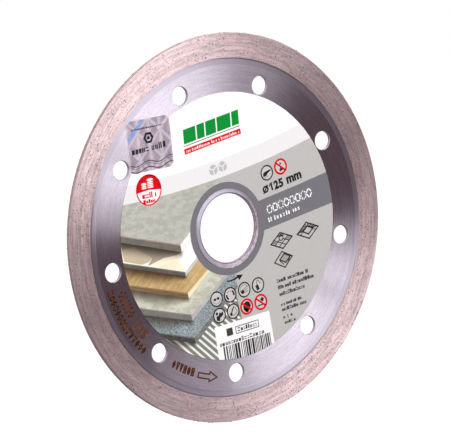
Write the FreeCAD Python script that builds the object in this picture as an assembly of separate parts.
import FreeCAD, Part
import itertools
import math
import os

# A continuous-rim diamond blade for an angle grinder.
#
# Frame: the origin is the centre of the bore, in the middle plane of the steel core.
# The blade turns about Y. The labelled face looks towards -Y, and +Z is up.
# All sizes are in millimetres.

# --- steel core ---
BLADE_DIAMETER = 125.0
BORE_DIAMETER = 22.23
CORE_THICKNESS = 1.1
BORE_CHAMFER = 0.15

# --- cutting rim ---
RIM_HEIGHT = 8.0
RIM_THICKNESS = 1.5
RIM_EDGE_CHAMFER = 0.12

# --- relief band, ground into the core where it meets the rim ---
RELIEF_WIDTH = 2.1
RELIEF_DEPTH = 0.1

# --- cooling holes ---
HOLE_COUNT = 9
HOLE_DIAMETER = 6.1
HOLE_CHAMFER = 0.15
HOLE_FIRST_ANGLE = 74.3
HOLE_GAP_TO_RELIEF = 2.35

# --- diamond crystals ---
CRYSTALS_PER_FACE = 150
CRYSTALS_ON_EDGE = 60
CRYSTAL_WIDTH = 0.42
CRYSTAL_STAND_OUT = 0.09
CRYSTAL_MARGIN = 0.5
GOLDEN_ANGLE = 180.0 * (3.0 - math.sqrt(5.0))
SPREAD_STEP = 0.5698402910

# --- printed label on the front face ---
LABEL_THICKNESS = 0.12
LABEL_GAP_TO_HOLES = 0.95
LABEL_BORE_GAP = 1.65
LABEL_SHIFT = (0.2, 0.6)
LABEL_HOLE_SHIFT = (-0.35, -0.18)

# --- square seal, stuck across the edge of the label ---
SEAL_WIDTH = 17.0
SEAL_HEIGHT = 16.5
SEAL_CORNER_RADIUS = 2.0
SEAL_THICKNESS = 0.07
SEAL_TURN = 7.0
SEAL_ANGLE = 138.1
SEAL_INSIDE_LABEL = 0.9

# --- sizes that follow from the ones above ---
BLADE_RADIUS = BLADE_DIAMETER / 2.0
BORE_RADIUS = BORE_DIAMETER / 2.0
RIM_INNER_RADIUS = BLADE_RADIUS - RIM_HEIGHT
RELIEF_INNER_RADIUS = RIM_INNER_RADIUS - RELIEF_WIDTH
HOLE_RADIUS = HOLE_DIAMETER / 2.0
HOLE_CIRCLE_RADIUS = RELIEF_INNER_RADIUS - HOLE_GAP_TO_RELIEF - HOLE_RADIUS
FRONT_Y = -CORE_THICKNESS / 2.0
BACK_Y = CORE_THICKNESS / 2.0
LABEL_RADIUS = HOLE_CIRCLE_RADIUS - HOLE_RADIUS - LABEL_GAP_TO_HOLES
LABEL_HOLE_RADIUS = BORE_RADIUS + LABEL_BORE_GAP
LABEL_FRONT_Y = FRONT_Y - LABEL_THICKNESS
SEAL_CENTRE_RADIUS = LABEL_RADIUS - SEAL_INSIDE_LABEL

ALONG_Y = FreeCAD.Vector(0.0, 1.0, 0.0)
EPSILON = 0.5


def disc(radius, y_front, y_back, centre=(0.0, 0.0)):
    """A round plate between two planes across Y."""
    base = FreeCAD.Vector(centre[0], y_front, centre[1])
    return Part.makeCylinder(radius, y_back - y_front, base, ALONG_Y)


def hole_with_chamfers(radius, chamfer, thickness, centre=(0.0, 0.0)):
    """The tool that cuts a through hole and breaks both of its edges."""
    half = thickness / 2.0
    wide = radius + chamfer + EPSILON
    bore = disc(radius, -half - EPSILON, half + EPSILON, centre)
    front_base = FreeCAD.Vector(centre[0], -half - EPSILON, centre[1])
    back_base = FreeCAD.Vector(centre[0], half - chamfer, centre[1])
    front = Part.makeCone(wide, radius, EPSILON + chamfer, front_base, ALONG_Y)
    back = Part.makeCone(radius, wide, EPSILON + chamfer, back_base, ALONG_Y)
    return bore.multiFuse([front, back])


def ring_section(points):
    """Revolve a closed outline, given as (radius, y) pairs, about the Y axis."""
    corners = [FreeCAD.Vector(radius, y, 0.0) for radius, y in points]
    wire = Part.makePolygon(corners + corners[:1])
    face = Part.Face(wire)
    return face.revolve(FreeCAD.Vector(0.0, 0.0, 0.0), ALONG_Y, 360.0)


def make_core():
    """The steel blank, thinner in the relief band next to the rim."""
    half = CORE_THICKNESS / 2.0
    low = half - RELIEF_DEPTH
    blank = ring_section([
        (BORE_RADIUS / 2.0, -half),
        (RELIEF_INNER_RADIUS, -half),
        (RELIEF_INNER_RADIUS, -low),
        (RIM_INNER_RADIUS, -low),
        (RIM_INNER_RADIUS, low),
        (RELIEF_INNER_RADIUS, low),
        (RELIEF_INNER_RADIUS, half),
        (BORE_RADIUS / 2.0, half),
    ])
    tools = [hole_with_chamfers(BORE_RADIUS, BORE_CHAMFER, CORE_THICKNESS)]
    for index in range(HOLE_COUNT):
        angle = math.radians(HOLE_FIRST_ANGLE + index * 360.0 / HOLE_COUNT)
        centre = (HOLE_CIRCLE_RADIUS * math.cos(angle), HOLE_CIRCLE_RADIUS * math.sin(angle))
        tools.append(hole_with_chamfers(HOLE_RADIUS, HOLE_CHAMFER, CORE_THICKNESS, centre))
    return blank.cut(tools)


def make_rim_ring():
    """The bond ring before the crystals' pockets, with its outer edges broken."""
    half = RIM_THICKNESS / 2.0
    broken = half - RIM_EDGE_CHAMFER
    return ring_section([
        (RIM_INNER_RADIUS, -half),
        (BLADE_RADIUS - RIM_EDGE_CHAMFER, -half),
        (BLADE_RADIUS, -broken),
        (BLADE_RADIUS, broken),
        (BLADE_RADIUS - RIM_EDGE_CHAMFER, half),
        (RIM_INNER_RADIUS, half),
    ])


def crystal_at(point, spin):
    """One blocky crystal: an octahedron with its six points cut off."""
    reach = CRYSTAL_WIDTH / 2.0
    axes = [
        FreeCAD.Vector(1.0, 0.0, 0.0),
        FreeCAD.Vector(0.0, 1.0, 0.0),
        FreeCAD.Vector(0.0, 0.0, 1.0),
    ]
    outlines = []
    for first in range(3):
        second = axes[(first + 1) % 3] * (reach / 2.0)
        third = axes[(first + 2) % 3] * (reach / 2.0)
        for side in (-1.0, 1.0):
            tip = axes[first] * (side * reach)
            outlines.append([tip + second, tip + third, tip - second, tip - third])
    for signs in itertools.product((-1.0, 1.0), repeat=3):
        corners = []
        for first in range(3):
            second = (first + 1) % 3
            near = axes[first] * (signs[first] * reach)
            far = axes[second] * (signs[second] * reach)
            corners.append(near + far * 0.5)
            corners.append(far + near * 0.5)
        outlines.append(corners)
    faces = [Part.Face(Part.makePolygon(corners + corners[:1])) for corners in outlines]
    solid = Part.makeSolid(Part.makeShell(faces))
    solid.rotate(FreeCAD.Vector(0.0, 0.0, 0.0), FreeCAD.Vector(1.0, 1.0, 0.4), spin)
    solid.translate(point)
    return solid


def place_crystals():
    """Crystals spread evenly over both flat faces and round the outer edge."""
    crystals = []
    lift = CRYSTAL_STAND_OUT - CRYSTAL_WIDTH / 2.0
    face_y = RIM_THICKNESS / 2.0 + lift
    inner = RIM_INNER_RADIUS + CRYSTAL_MARGIN
    outer = BLADE_RADIUS - CRYSTAL_WIDTH - CRYSTAL_MARGIN
    for side in (-1.0, 1.0):
        for index in range(CRYSTALS_PER_FACE):
            share = (index * SPREAD_STEP) % 1.0
            radius = inner + share * (outer - inner)
            angle = math.radians(index * GOLDEN_ANGLE * side)
            point = FreeCAD.Vector(radius * math.cos(angle), side * face_y, radius * math.sin(angle))
            crystals.append(crystal_at(point, index * GOLDEN_ANGLE))
    edge_reach = RIM_THICKNESS / 2.0 - RIM_EDGE_CHAMFER - CRYSTAL_WIDTH
    for index in range(CRYSTALS_ON_EDGE):
        share = 2.0 * ((index * SPREAD_STEP) % 1.0) - 1.0
        angle = math.radians(index * 360.0 / CRYSTALS_ON_EDGE)
        radius = BLADE_RADIUS + lift
        point = FreeCAD.Vector(radius * math.cos(angle), share * edge_reach, radius * math.sin(angle))
        crystals.append(crystal_at(point, index * GOLDEN_ANGLE))
    return crystals


def make_label():
    """The printed film, a little off the blade's centre, with its own centre hole."""
    film = disc(LABEL_RADIUS, LABEL_FRONT_Y, FRONT_Y, LABEL_SHIFT)
    opening = disc(LABEL_HOLE_RADIUS, LABEL_FRONT_Y - EPSILON, FRONT_Y + EPSILON, LABEL_HOLE_SHIFT)
    return film.cut(opening)


def rounded_plate(y_front, y_back):
    """The seal's outline between two planes across Y, turned and set in its place."""
    depth = y_back - y_front
    corner = FreeCAD.Vector(-SEAL_WIDTH / 2.0, y_front, -SEAL_HEIGHT / 2.0)
    plate = Part.makeBox(SEAL_WIDTH, depth, SEAL_HEIGHT, corner)
    corners = [edge for edge in plate.Edges if abs(edge.BoundBox.YLength - depth) < 1e-6]
    plate = plate.makeFillet(SEAL_CORNER_RADIUS, corners)
    plate.rotate(FreeCAD.Vector(0.0, 0.0, 0.0), ALONG_Y, -SEAL_TURN)
    angle = math.radians(SEAL_ANGLE)
    along = SEAL_CENTRE_RADIUS * math.cos(angle)
    up = SEAL_CENTRE_RADIUS * math.sin(angle)
    plate.translate(FreeCAD.Vector(along, 0.0, up))
    return plate


def make_seal():
    """The seal lies on the steel, steps over the label's edge and lies on the label."""
    on_steel = rounded_plate(FRONT_Y - SEAL_THICKNESS, FRONT_Y)
    top_y = LABEL_FRONT_Y - SEAL_THICKNESS
    over_label = rounded_plate(top_y, FRONT_Y)
    reach = disc(LABEL_RADIUS + SEAL_THICKNESS, top_y - EPSILON, FRONT_Y + EPSILON, LABEL_SHIFT)
    film = disc(LABEL_RADIUS, LABEL_FRONT_Y, FRONT_Y + EPSILON, LABEL_SHIFT)
    return on_steel.fuse(over_label.common(reach)).cut(film).removeSplitter()


def export(name, shape):
    """Write one sub-part, and say how large it is."""
    shape.exportStep("parts/" + name + ".step")
    print(name, len(shape.Solids), "solids", round(shape.Volume, 3), "mm3", shape.isValid())


def main():
    """Build every piece of the blade and write it to its own file."""
    os.makedirs("parts", exist_ok=True)
    crystals = place_crystals()
    export("steel_core", make_core())
    export("diamond_rim", make_rim_ring().cut(crystals))
    export("diamond_grit", Part.makeCompound(crystals))
    export("face_label", make_label())
    export("hologram_seal", make_seal())


main()
